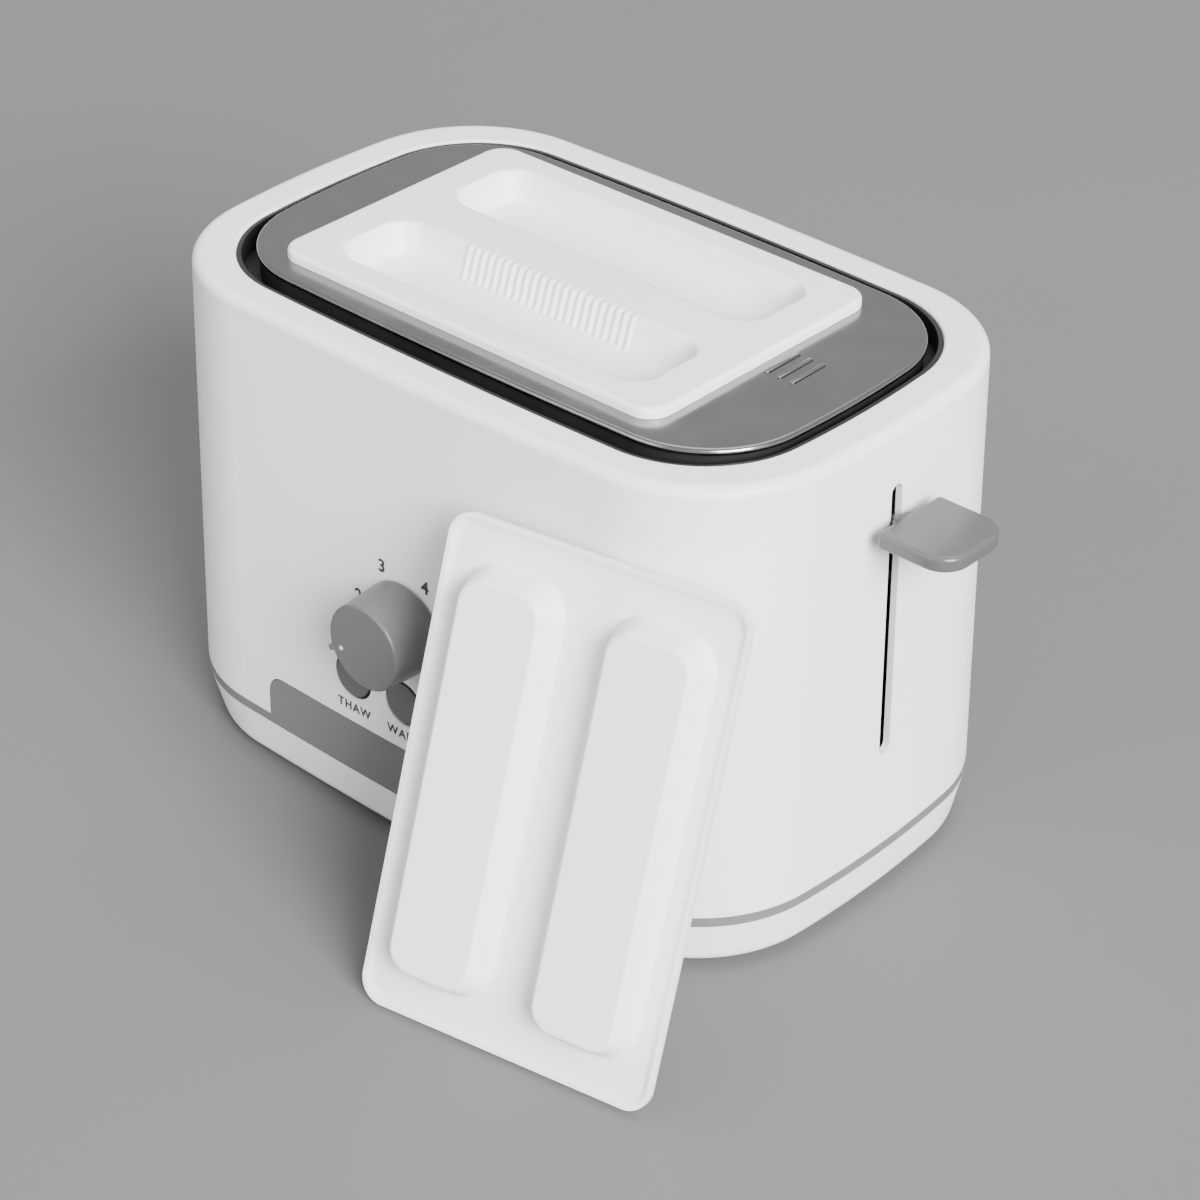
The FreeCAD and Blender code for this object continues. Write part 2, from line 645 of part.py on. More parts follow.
def grip_rib(x, side):
    """One upright finger rib on the trough wall next to the middle ridge."""
    edge = SLOT_Y - TROUGH_HALF_WIDTH
    top = (x, side * edge, COVER_TOP - SHUT_GAP)
    foot = (x, side * (edge + TROUGH_SLOPE * RIB_SHARE), COVER_TOP - TROUGH_DEPTH * RIB_SHARE)
    return rod(RIB_RADIUS, foot, top)


def leaning(shape):
    """Stands a dust cover on its short edge and leans it, underside out, on the front wall."""
    yaw = radians(LEAN_YAW)
    lean = radians(LEAN_ANGLE)
    side = vec(cos(yaw), sin(yaw), 0)
    back = vec(-sin(yaw), cos(yaw), 0)
    up = back * sin(lean) + UP * cos(lean)
    top_face = up.cross(side)
    place = FreeCAD.Matrix(
        up.x, side.x, top_face.x, LEAN_CENTRE[0],
        up.y, side.y, top_face.y, LEAN_CENTRE[1],
        up.z, side.z, top_face.z, COVER_HALF_LENGTH * cos(lean) + LEAN_REST,
        0, 0, 0, 1)
    moved = shape.copy()
    moved.translate(vec(-SLOT_CENTRE_X, 0, -COVER_TOP))
    return moved.transformed(place)


# ---- controls --------------------------------------------------------------
def knob_blank():
    """Solid body of the knob, narrower and rounded towards the front."""
    front = KNOB_BACK - KNOB_LENGTH
    centre = vec(KNOB_X, KNOB_BACK, KNOB_Z)
    blank = Part.makeCone(KNOB_RADIUS, KNOB_RADIUS - KNOB_TAPER, KNOB_LENGTH, centre, -ACROSS)
    front_edges = [edge for edge in blank.Edges if edge.BoundBox.YMax < front + 1]
    return blank.makeFillet(KNOB_ROUND, front_edges)


def browning_knob():
    behind = (KNOB_X, KNOB_BACK + 1, KNOB_Z)
    hollow_end = (KNOB_X, KNOB_BACK - KNOB_HOLLOW, KNOB_Z)
    knob = knob_blank().cut(tube(KNOB_RADIUS - KNOB_WALL, KNOB_HUB, behind, hollow_end))
    knob = knob.cut(rod(SHAFT_RADIUS, behind, (KNOB_X, KNOB_BACK - SHAFT_REACH, KNOB_Z)))
    return knob.cut(pointer_bar(KNOB_WALL))


def pointer_bar(proud):
    """Bar through the rim of the knob at the pointer's rest position, standing proud of its flank."""
    front = KNOB_BACK - KNOB_LENGTH
    bar = box(-POINTER_HALF, POINTER_HALF, front, front + POINTER_LENGTH,
              KNOB_RADIUS - POINTER_DEPTH, KNOB_RADIUS + proud)
    bar.rotate(vec(0, 0, 0), ACROSS, -POINTER_ANGLE)
    bar.translate(vec(KNOB_X, 0, KNOB_Z))
    return bar


def knob_pointer():
    """Insert that fills the pointer's groove and stands a little proud of the flank."""
    return pointer_bar(POINTER_PROUD)


def knob_shaft():
    inner = POT_FACE + SOCKET_DEPTH - FIT_GAP
    return rod(SHAFT_RADIUS, (KNOB_X, KNOB_BACK - SHAFT_REACH, KNOB_Z), (KNOB_X, inner, KNOB_Z))


def browning_potentiometer():
    body = rod(POT_RADIUS, (KNOB_X, POT_FACE, KNOB_Z), (KNOB_X, BOARD_FRONT, KNOB_Z))
    socket_end = (KNOB_X, POT_FACE + SOCKET_DEPTH, KNOB_Z)
    return body.cut(rod(SHAFT_RADIUS + RUNNING, (KNOB_X, POT_FACE - 1, KNOB_Z), socket_end))


def push_button(x):
    outer = -FRONT_FACE - BUTTON_PROUD
    cap = rod(BUTTON_RADIUS, (x, outer, BUTTON_Z), (x, BUTTON_BACK, BUTTON_Z))
    front_edges = [edge for edge in cap.Edges if edge.BoundBox.YMax < outer + 1]
    return cap.makeFillet(BUTTON_ROUND, front_edges)


def button_frame():
    """Black carrier behind the front wall, with a sleeve round each button."""
    x0, x1 = BUTTON_X[0] - FRAME_MARGIN, BUTTON_X[-1] + FRAME_MARGIN
    frame = box(x0, x1, FRAME_FRONT, FRAME_BACK, BUTTON_Z - FRAME_HALF_HEIGHT, BUTTON_Z + FRAME_HALF_HEIGHT)
    for x in BUTTON_X:
        sleeve_front = (x, -FRONT_FACE + SLEEVE_SINK, BUTTON_Z)
        frame = frame.fuse(rod(BUTTON_HOLE - SHUT_GAP, sleeve_front, (x, SLEEVE_BACK, BUTTON_Z)))
    for x in BUTTON_X:
        bore = rod(BUTTON_RADIUS + FIT_GAP, (x, -FRONT_FACE - 1, BUTTON_Z), (x, BUTTON_BACK, BUTTON_Z))
        frame = frame.cut(bore)
    return frame


def button_switches():
    low, high = BUTTON_Z - SWITCH_HALF, BUTTON_Z + SWITCH_HALF
    return [box(x - SWITCH_HALF, x + SWITCH_HALF, BOARD_FRONT - SWITCH_DEPTH, BOARD_FRONT, low, high)
            for x in BUTTON_X]


def control_board():
    board = box(*BOARD_X, BOARD_FRONT, BOARD_BACK, *BOARD_Z)
    for x, z in BOARD_SCREW_PLACES:
        board = board.cut(rod(BOARD_HOLE, (x, BOARD_FRONT - 1, z), (x, BOARD_BACK + 1, z)))
    return board


def board_standoffs():
    return [tube(STANDOFF_RADIUS, BOARD_SCREW, (x, BOARD_BACK, z), (x, -CAGE_HALF, z))
            for x, z in BOARD_SCREW_PLACES]


def board_screws():
    screws = []
    for x, z in BOARD_SCREW_PLACES:
        head = rod(STANDOFF_RADIUS, (x, BOARD_FRONT - 2, z), (x, BOARD_FRONT, z))
        screws.append(head.fuse(rod(BOARD_SCREW, (x, BOARD_FRONT - 1, z), (x, BOARD_FRONT + 10, z))))
    return screws


def board_components():
    """Relay, controller chip and two smoothing capacitors on the back of the board."""
    relay = box(-30, -12, BOARD_BACK, BOARD_BACK + 12, 80, 96)
    chip = box(-8, 4, BOARD_BACK, BOARD_BACK + 2.4, 60, 68)
    capacitors = [rod(4, (x, BOARD_BACK, 56), (x, BOARD_BACK + 11, 56)) for x in (14, 25)]
    return [relay, chip] + capacitors


# ---- oven ------------------------------------------------------------------
def end_plate(x, right):
    """Upright steel end of the oven, on two legs that are turned out over the base."""
    plate = box(x, x + SHEET, -PLATE_LEG, PLATE_LEG, FLOOR_TOP, CAGE_HIGH)
    tray_clear = TRAY_HALF + LEG_WIDTH / 2
    plate = plate.cut(box(x - 1, x + 2, -tray_clear, tray_clear, 0, FLANGE_LOW - 1.5))
    foot_x0 = x - LEG_REACH if right else x
    for y in (-PLATE_LEG, PLATE_LEG - LEG_WIDTH):
        foot = box(foot_x0, foot_x0 + LEG_REACH + SHEET, y, y + LEG_WIDTH, FLOOR_TOP, FLOOR_TOP + SHEET)
        plate = plate.fuse(foot)
    for px, py in LEG_PLACES:
        plate = plate.cut(rod(LEG_SCREW_RADIUS, (px, py, 0), (px, py, FLOOR_TOP + SHEET + 1)))
    for side in (1, -1):
        low = RACK_LOW - TRAVEL_DOWN - RACK_CLEAR
        high = RACK_HIGH + TRAVEL_UP + RACK_CLEAR
        y = side * SLOT_Y
        plate = plate.cut(box(x - 1, x + 2, y - RACK_CLEAR, y + RACK_CLEAR, low, high))
        for pivot_y in (y - GUIDE_INSET, y + GUIDE_INSET):
            bore = rod(WIRE + SHUT_GAP, (x - 1, pivot_y, GUIDE_PIVOT_Z), (x + 2, pivot_y, GUIDE_PIVOT_Z))
            plate = plate.cut(bore)
    if right:
        for z in (FLANGE_LOW, FLANGE_HIGH):
            shelf = box(x, SHELF_REACH, -SHELF_HALF, SHELF_HALF, z, z + SHELF_THICK)
            for y in (-ROD_Y, ROD_Y):
                shelf = shelf.cut(rod(ROD_RADIUS, (ROD_X, y, z - 1), (ROD_X, y, z + SHELF_THICK + 1)))
            plate = plate.fuse(shelf)
    return plate.removeSplitter()


def reflector(side):
    y0, y1 = sorted((side * CAGE_HALF, side * (CAGE_HALF - SHEET)))
    return box(CAGE_LEFT + SHEET + FIT_GAP, CAGE_RIGHT - FIT_GAP, y0, y1, CAGE_LOW, CAGE_HIGH)


def heater_board(face, outwards):
    """Mica sheet whose heated face is at y = face; outwards is the way its back looks."""
    y0, y1 = sorted((face, face + outwards * SHEET))
    return box(CAGE_LEFT + SHEET + FIT_GAP, CAGE_RIGHT - FIT_GAP, y0, y1, BOARD_LOW, BOARD_HIGH)


def heater_ribbon(face, outwards):
    """Flat resistance ribbon that runs back and forth over the heated face."""
    y0, y1 = sorted((face, face - outwards * RIBBON_THICK))
    x0 = SLOT_CENTRE_X - SLOT_HALF_LENGTH + RIBBON_INSET
    x1 = SLOT_CENTRE_X + SLOT_HALF_LENGTH - RIBBON_INSET
    strips = []
    for n in range(RIBBON_COUNT):
        z = BOARD_LOW + RIBBON_LIFT + RIBBON_PITCH * n
        strips.append(box(x0, x1, y0, y1, z, z + RIBBON_WIDTH))
        if n + 1 < RIBBON_COUNT:
            x = x1 - RIBBON_WIDTH if n % 2 == 0 else x0
            strips.append(box(x, x + RIBBON_WIDTH, y0, y1, z, z + RIBBON_PITCH + RIBBON_WIDTH))
    return strips[0].multiFuse(strips[1:]).removeSplitter()


def bread_rack(side):
    """Bar with cross fingers that the slice stands on; its ends pass through the end plates."""
    y = side * SLOT_Y
    rack = box(CAGE_LEFT - 5, BRACKET_X, y - RACK_HALF, y + RACK_HALF, RACK_LOW, RACK_HIGH)
    for n in range(FINGER_COUNT):
        x = SLOT_CENTRE_X + FINGER_PITCH * (n - (FINGER_COUNT - 1) / 2)
        finger = box(x - FINGER_HALF, x + FINGER_HALF, y - FINGER_LENGTH, y + FINGER_LENGTH,
                     RACK_HIGH - 1, RACK_HIGH + SHEET)
        rack = rack.fuse(finger)
    return rack.removeSplitter()


def bread_guide(side, offset):
    """Wire grid that leans in on a pivot rod at its foot and centres the slice."""
    y = side * SLOT_Y + offset
    left, right = CAGE_LEFT + SHEET - PIVOT_REACH, CAGE_RIGHT + PIVOT_REACH
    pivot = rod(WIRE, (left, y, GUIDE_PIVOT_Z), (right, y, GUIDE_PIVOT_Z))
    x0 = SLOT_CENTRE_X - SLOT_HALF_LENGTH + GUIDE_MARGIN
    x1 = SLOT_CENTRE_X + SLOT_HALF_LENGTH - GUIDE_MARGIN
    wires = [rod(WIRE, (x0, y, GUIDE_TOP_Z), (x1, y, GUIDE_TOP_Z))]
    for n in range(GUIDE_WIRES):
        x = x0 + WIRE + (x1 - x0 - 2 * WIRE) * n / (GUIDE_WIRES - 1)
        wires.append(rod(WIRE, (x, y, GUIDE_PIVOT_Z), (x, y, GUIDE_TOP_Z)))
    return pivot.multiFuse(wires).removeSplitter()


def chassis_screws():
    seat = FLOOR_TOP + SHEET
    screws = []
    for x, y in LEG_PLACES:
        head = rod(LEG_SCREW_HEAD, (x, y, seat), (x, y, seat + 1.8))
        screws.append(head.fuse(rod(LEG_SCREW_RADIUS, (x, y, BASE_BOTTOM + FIT_GAP), (x, y, seat + 1))))
    return screws


# ---- carriage --------------------------------------------------------------
def carriage_bracket():
    """Pressed steel carriage: a cross strap for the racks, an upright and two pairs of rod lugs."""
    x0, x1 = BRACKET_X, BRACKET_X + BRACKET_SHEET
    strap_top = SPRING_LOW - 1
    bracket = box(x0, x1, -STRAP_HALF, STRAP_HALF, BRACKET_LOW, strap_top)
    bracket = bracket.fuse(box(x0, x1, -LUG_HALF, LUG_HALF, BRACKET_LOW, ARM_HIGH))
    for z in LUG_HEIGHTS:
        lug = box(x0, ROD_X + 6, -LUG_HALF, LUG_HALF, z, z + BRACKET_SHEET)
        lug = lug.cut(box(x1, ROD_X + 7, -9, 9, z - 1, z + 3))
        bracket = bracket.fuse(lug)
    tongue_low = LUG_HEIGHTS[0]
    bracket = bracket.fuse(box(x0, MAGNET_X + 9, -6, 6, tongue_low, tongue_low + BRACKET_SHEET))
    for side in (1, -1):
        y0, y1 = sorted((side * (STRAP_HALF - 9), side * STRAP_HALF))
        bracket = bracket.fuse(box(x0, SPRING_X + 4, y0, y1, strap_top - BRACKET_SHEET, strap_top))
        for z in LUG_HEIGHTS:
            place = (ROD_X, side * ROD_Y)
            bracket = bracket.cut(rod(BUSH_RADIUS, (*place, z - 1), (*place, z + 4)))
    return bracket.removeSplitter()


def carriage_bushes():
    bushes = []
    for side in (1, -1):
        for z in LUG_HEIGHTS:
            place = (ROD_X, side * ROD_Y)
            low, high = z - BRACKET_SHEET, z + BUSH_RADIUS
            bushes.append(tube(BUSH_RADIUS, ROD_RADIUS + RUNNING, (*place, low), (*place, high)))
    return bushes


def guide_rods():
    return [rod(ROD_RADIUS, (ROD_X, side * ROD_Y, ROD_LOW), (ROD_X, side * ROD_Y, ROD_HIGH))
            for side in (1, -1)]


def coil_spring(x, y, low, high, turns):
    """Close helix of round wire between two heights."""
    path = Part.makeHelix((high - low) / turns, high - low, SPRING_RADIUS)
    path = Part.Wire(path.Edges)
    start = vec(SPRING_RADIUS, 0, 0)
    section = Part.Wire(Part.makeCircle(SPRING_WIRE, start, ACROSS))
    spring = path.makePipeShell([section], True, True)
    spring.translate(vec(x, y, low))
    return spring


def carriage_springs():
    return [coil_spring(SPRING_X, side * SPRING_Y, SPRING_LOW, FLANGE_HIGH - 1.0, SPRING_TURNS)
            for side in (1, -1)]


def lever_arm():
    """Blade that carries the lever out through the slot in the end wall."""
    return box(BRACKET_X + BRACKET_SHEET, ARM_END, -ARM_HALF, ARM_HALF, ARM_LOW, ARM_HIGH)


def lever_paddle():
    low = LEVER_TOP - LEVER_THICK
    half = LEVER_HALF_WIDTH
    middle = (LEVER_INNER + LEVER_OUTER) / 2
    half_x = (LEVER_OUTER - LEVER_INNER) / 2
    paddle = prism(rounded_rectangle(half_x, half, PADDLE_INNER_CORNER, middle, 0, low), LEVER_THICK)
    wire = rounded_rectangle(half_x + PADDLE_CORNER, half, PADDLE_CORNER, middle - PADDLE_CORNER, 0, low)
    paddle = paddle.common(prism(wire, LEVER_THICK)).removeSplitter()
    paddle = round_edges(paddle, PADDLE_TOP_ROUND, flat_at(LEVER_TOP))
    paddle = round_edges(paddle, PADDLE_LOW_ROUND, flat_at(low))
    neck = box(NECK_INNER, NECK_OUTER, -NECK_HALF, NECK_HALF, ARM_LOW - 1.6, LEVER_TOP - 1.8)
    neck = round_edges(neck, NECK_ROUND, lambda b: max(b.YLength, b.ZLength) < 0.01)
    return paddle.fuse(neck).cut(box(NECK_INNER - 1, ARM_END, -ARM_HALF, ARM_HALF, ARM_LOW, ARM_HIGH))


# ---- latch and power -------------------------------------------------------
def latch_armature():
    top = LUG_HEIGHTS[0]
    return box(MAGNET_X - 8, MAGNET_X + 8, -7.5, 7.5, top - ARMATURE_THICK, top)


def magnet_well(z0, z1):
    x0, x1 = MAGNET_X - CORE_HALF_LENGTH, MAGNET_X + CORE_HALF_LENGTH
    return box(x0, x1, -CORE_HALF_WIDTH, CORE_HALF_WIDTH, z0, z1)


def magnet_core():
    return magnet_well(MAGNET_FLOOR, MAGNET_TOP - FIT_GAP)


def magnet_coil():
    low, top = MAGNET_FLOOR + 0.5, MAGNET_TOP - 2.5
    coil = prism(rounded_rectangle(6.5, 7.0, 3.0, MAGNET_X, 0, low), top - low)
    return coil.cut(magnet_well(low - 1, top + 1))


def magnet_bracket():
    return box(MAGNET_X - 11, MAGNET_X + 11, -9, 9, FLOOR_TOP, MAGNET_FLOOR)


def contact_block():
    return box(84, 98, 38, 48, FLOOR_TOP, CONTACT_SEAT)


def contact_blades():
    return [box(x, x + 3, 42, 42.6, CONTACT_SEAT, CONTACT_SEAT + 15) for x in (86, 92)]


def terminal_block():
    block = box(-78, -56, 62, 72, FLOOR_TOP, TERMINAL_TOP)
    for x in (-73, -67, -61):
        block = block.cut(rod(1.6, (x, 67, TERMINAL_TOP - 7), (x, 67, TERMINAL_TOP + 1)))
    return block


# ---- build -----------------------------------------------------------------
os.makedirs("parts", exist_ok=True)

write("outer_shell", outer_shell())
write("trim_band", trim_band())
write("base_shell", base_shell())
write("rubber_feet", rubber_feet())
write("base_screws", base_screws())
write("cord_gland", cord_gland())
write("crumb_tray", crumb_tray())
write("crumb_tray_handle", crumb_tray_handle())
write("top_plate", top_plate())
write("top_collar", top_collar())

cover = cover_blank()
write("dust_cover", cover)
write("spare_dust_cover", leaning(cover))

write("browning_knob", browning_knob())
write("knob_pointer", knob_pointer())
write("knob_shaft", knob_shaft())
write("browning_potentiometer", browning_potentiometer())
for button_name, button_x in zip(BUTTON_NAMES, BUTTON_X):
    write(button_name, push_button(button_x))
write("button_frame", button_frame())
write("button_switches", button_switches())
write("control_board", control_board())
write("board_standoffs", board_standoffs())
write("board_screws", board_screws())
write("board_components", board_components())

write("left_end_plate", end_plate(CAGE_LEFT, False))
write("right_end_plate", end_plate(CAGE_RIGHT, True))
write("front_reflector", reflector(-1))
write("back_reflector", reflector(1))
write("chassis_screws", chassis_screws())
for name, side in (("front", -1), ("back", 1)):
    write(name + "_outer_heater_board", heater_board(side * OUTER_BOARD_Y, side))
    write(name + "_outer_heater_ribbon", heater_ribbon(side * OUTER_BOARD_Y, side))
    write(name + "_inner_heater_board", heater_board(side * INNER_BOARD_Y, -side))
    write(name + "_inner_heater_ribbon", heater_ribbon(side * INNER_BOARD_Y, -side))
    write(name + "_bread_rack", bread_rack(side))
    write(name + "_outer_bread_guide", bread_guide(side, side * GUIDE_INSET))
    write(name + "_inner_bread_guide", bread_guide(side, -side * GUIDE_INSET))

write("carriage_bracket", carriage_bracket())
write("carriage_bushes", carriage_bushes())
write("guide_rods", guide_rods())
write("carriage_springs", carriage_springs())
write("lever_arm", lever_arm())
write("lever_paddle", lever_paddle())
write("latch_armature", latch_armature())
write("magnet_core", magnet_core())
write("magnet_coil", magnet_coil())
write("magnet_bracket", magnet_bracket())
write("contact_block", contact_block())
write("contact_blades", contact_blades())
write("terminal_block", terminal_block())
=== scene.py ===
import json
from math import cos, pi, radians, sin

import bmesh
import bpy
from mathutils import Matrix, Vector


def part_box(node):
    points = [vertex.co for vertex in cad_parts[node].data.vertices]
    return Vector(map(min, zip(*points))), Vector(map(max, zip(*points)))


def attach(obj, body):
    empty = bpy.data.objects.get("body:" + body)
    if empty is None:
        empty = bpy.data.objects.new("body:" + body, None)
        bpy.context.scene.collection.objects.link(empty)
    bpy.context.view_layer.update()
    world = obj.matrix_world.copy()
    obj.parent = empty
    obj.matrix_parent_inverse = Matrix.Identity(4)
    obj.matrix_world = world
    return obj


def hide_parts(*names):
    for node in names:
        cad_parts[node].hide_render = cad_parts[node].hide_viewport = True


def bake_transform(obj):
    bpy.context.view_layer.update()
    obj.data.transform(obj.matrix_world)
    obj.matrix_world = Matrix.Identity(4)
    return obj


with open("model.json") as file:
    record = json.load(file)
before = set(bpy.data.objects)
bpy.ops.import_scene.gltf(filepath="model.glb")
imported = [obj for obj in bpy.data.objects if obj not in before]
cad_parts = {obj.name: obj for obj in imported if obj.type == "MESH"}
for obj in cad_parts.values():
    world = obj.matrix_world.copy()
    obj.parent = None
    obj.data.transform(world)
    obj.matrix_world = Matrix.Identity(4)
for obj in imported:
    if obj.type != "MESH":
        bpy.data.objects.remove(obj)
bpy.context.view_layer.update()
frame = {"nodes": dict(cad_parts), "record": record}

# ---- sizes, in metres unless a comment says otherwise, in the frame's own axes ----
MM = 0.001

# Camera: it looks at the target from a distance; angles are in degrees, and the lens and sensor are in mm.
CAMERA_TARGET = Vector((17.5, 0.0, 70.2)) * MM
CAMERA_DISTANCE = 1154.46 * MM
CAMERA_AZIMUTH = 41.28
CAMERA_ELEVATION = 32.77
CAMERA_ROLL = 0.8
CAMERA_LENS = 103.9
CAMERA_SENSOR = 36.0
CAMERA_SHIFT = (-0.0164, -0.0056)

# Studio: each light has a place, a point it faces, a width and height, and a power in watts.
FLOOR_HALF = 6.0
FLOOR_TONES = (0.136, 0.141)
WORLD_COLOUR = (0.9, 0.92, 0.95, 1)
WORLD_STRENGTH = 0.8
LIGHTS = {
    "key": ((5.85, -2.48, 3.6), (0, 0, 0.08), (3.6, 3.6), 1800),
    "overhead": ((-0.6, 1.0, 3.0), (0, 0, 0.1), (2.4, 2.4), 40),
    "front_fill": ((-1.6, -4.4, 2.4), (0, 0, 0.08), (3.1, 2.6), 78),
}

# Print on the front wall: numbers round the dial, a word under each button. Turns are in degrees from
# straight up, clockwise.
KNOB_X = -1.75 * MM
KNOB_Z = 88.4 * MM
BUTTON_X = (-25.7 * MM, -2.4 * MM, 20.9 * MM)
BUTTON_LABELS = ("THAW", "WARM", "STOP")
LABEL_Z = 45.4 * MM
LABEL_HEIGHT = 3.2 * MM
DIAL_RADIUS = 20.8 * MM
DIAL_DROP = 0.4 * MM
DIAL_HEIGHT = 4.5 * MM
DIAL_STEP = 55.0
DIAL_START = -137.5
DIAL_NUMBERS = 6
CAPITAL_SHARE = 0.7      # height of a capital letter as a share of the font's size
LETTER_GAP = 1.2         # letter spacing, 1 being the font's own
STROKE_SHARE = 0.045     # how much bolder the strokes are, as a share of the letter height
PRINT_PROUD = 0.05 * MM
PRINT_TONE = 0.035

# Front wall: it leans in by the draft from its lowest line to the rim, and bulges on a wide radius.
FRONT_LOW_Z = 23.3 * MM
FRONT_RISE = 154.7 * MM
FRONT_HALF = 82.7 * MM
FRONT_DRAFT = 1.6 * MM
FRONT_BULGE = 2270.0 * MM

# Three raised bars on the steel plate.
BAR_COUNT = 3
BARS_X = 85.0 * MM
BARS_Y = 3.0 * MM
BAR_PITCH = 5.0 * MM
BAR_HALF_WIDTH = 0.8 * MM
BAR_HALF_LENGTH = 8.0 * MM
BAR_PROUD = 0.3 * MM
BAR_SINK = 0.2 * MM
BAR_ROUND = 0.3 * MM
BAR_ROUND_STEPS = 3

# Pale dot on the knob's face; the angle is in degrees from straight up, anticlockwise.
POINTER_ANGLE = 112.0
DOT_REACH = 10.5 * MM
DOT_RADIUS = 0.85 * MM
DOT_SIDES = 32
DOT_TONE = 0.4

# Return springs; the wire is given by its radius.
SPRING_WIRE = 0.5 * MM
SPRING_TURNS = 26
SPRING_STEPS = 16
SPRING_SIDES = 8

# Dust cover, in millimetres: the centre of its top face is the zero point, its length lies along x, and its
# top face looks to +z. Its outline and place come from its CAD node.
cover_low, cover_high = (Vector(corner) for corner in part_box("dust_cover"))
COVER_PLACE = Vector(((cover_low.x + cover_high.x) / 2, 0.0, cover_high.z))
COVER_HALF = ((cover_high.x - cover_low.x) / (2 * MM), (cover_high.y - cover_low.y) / (2 * MM))
COVER_CORNER = 8.5
COVER_EDGE = 3.4
COVER_SKIN = 2.4
COVER_BORDER = 2.0
BORDER_FADE = 1.2
BORDER_LEAD = 0.3
EDGE_ROUND = 1.5
# How far from the edge the outer grid lines lie, as shares of EDGE_ROUND.
EDGE_STEPS = (0.8, 0.6, 0.42, 0.26, 0.13, 0.04, 0.0)
TROUGH_HALF = (65.4, 16.0)
TROUGH_CORNER = 9.5
TROUGH_Y = 26.2
TROUGH_DEPTH = 10.5
TROUGH_SLOPE = 2.4
TROUGH_SOFT = 1.2
# Half a millimetre thinner than in CAD: the soft pads then stay inside the CAD box.
TROUGH_SKIN = 1.4
RIB_COUNT = 23
RIB_PITCH = 3.2
RIB_RADIUS = 0.85
RIB_REACH = RIB_PITCH * (RIB_COUNT - 1) / 2 + RIB_RADIUS
# Grid spacing of the cover's mesh along x and y, and the spans (from, to) that have a finer spacing.
GRID_X = (1.6, [(0, RIB_REACH + 0.5, RIB_PITCH / 8), (48, 68, 0.8)])
GRID_Y = (1.2, [(8.5, 15, 0.42), (37, 44, 0.6)])
SHARP_ANGLE = 50.0

# The second cover stands on a short edge and leans back on the front wall.
LEAN_ANGLE = radians(20.4)
LEAN_YAW = radians(9.3)
LEAN_REST = 0.3
LEAN_PLACE = Vector((88.9, -109.6, COVER_HALF[0] * cos(LEAN_ANGLE) + LEAN_REST)) * MM


# ---- objects -----------------------------------------------------------------
def add_object(name, data):
    thing = bpy.data.objects.new(name, data)
    bpy.context.scene.collection.objects.link(thing)
    return thing


def mesh_object(name, verts, faces):
    mesh = bpy.data.meshes.new(name)
    mesh.from_pydata([tuple(v) for v in verts], [], faces)
    mesh.update()
    return add_object(name, mesh)


# ---- camera ------------------------------------------------------------------
def make_camera():
    azimuth, elevation, roll = (radians(a) for a in (CAMERA_AZIMUTH, CAMERA_ELEVATION, CAMERA_ROLL))
    back = Vector((sin(azimuth) * cos(elevation), -cos(azimuth) * cos(elevation), sin(elevation)))
    right = Vector((cos(azimuth), sin(azimuth), 0.0))
    up = back.cross(right)
    rolled_right = right * cos(roll) + up * sin(roll)
    rolled_up = up * cos(roll) - right * sin(roll)
    camera = add_object("camera", bpy.data.cameras.new("camera"))
    camera.data.lens = CAMERA_LENS
    camera.data.sensor_width = CAMERA_SENSOR
    camera.data.shift_x, camera.data.shift_y = CAMERA_SHIFT
    axes = Matrix((rolled_right, rolled_up, back)).transposed().to_4x4()
    camera.matrix_world = Matrix.Translation(CAMERA_TARGET + back * CAMERA_DISTANCE) @ axes
    bpy.context.scene.camera = camera


# ---- studio ------------------------------------------------------------------
def area_light(name, place, aim, size, power):
    light = add_object(name, bpy.data.lights.new(name, "AREA"))
    light.data.shape = "RECTANGLE"
    light.data.size, light.data.size_y = size
    light.data.energy = power
    light.location = place
    light.rotation_euler = (Vector(place) - Vector(aim)).to_track_quat("Z", "Y").to_euler()


def make_studio():
    corners = [(x * FLOOR_HALF, y * FLOOR_HALF, 0) for x, y in ((-1, -1), (1, -1), (1, 1), (-1, 1))]
    floor = mesh_object("studio_floor", corners, [(0, 1, 2, 3)])
    floor.data.materials.append(plain_floor())
    world = bpy.data.worlds.new("studio")
    world.use_nodes = True
    world.node_tree.nodes["Background"].inputs["Color"].default_value = WORLD_COLOUR
    world.node_tree.nodes["Background"].inputs["Strength"].default_value = WORLD_STRENGTH
    bpy.context.scene.world = world
    for name, (place, aim, size, power) in LIGHTS.items():
        area_light(name, place, aim, size, power)


# ---- dust covers ---------------------------------------------------------------
def smooth(t):
    t = min(max(t, 0.0), 1.0)
    return t * t * (3 - 2 * t)


def inside_distance(x, y, half, corner):
    """Signed distance to a rounded rectangle about the zero point, negative inside."""
    qx = abs(x) - half[0] + corner
    qy = abs(y) - half[1] + corner
    outside = (max(qx, 0) ** 2 + max(qy, 0) ** 2) ** 0.5
    return outside + min(max(qx, qy), 0) - corner


def trough_share(x, y, grow, inwards=0.0):
    """How far down the trough wall a place is: 0 on the flange, 1 on the floor."""
    d = inside_distance(x, abs(y) - TROUGH_Y, TROUGH_HALF, TROUGH_CORNER) - grow + inwards
    return smooth((TROUGH_SOFT - d) / (TROUGH_SLOPE + 2 * TROUGH_SOFT))


def rib_reach(x, y):
    """How far the round finger ribs on the wall beside the middle ridge stand into the trough."""
    if abs(x) > RIB_REACH or abs(y) > TROUGH_Y:
        return 0.0
    across = x - RIB_PITCH * round(x / RIB_PITCH)
    return max(RIB_RADIUS ** 2 - across ** 2, 0.0) ** 0.5


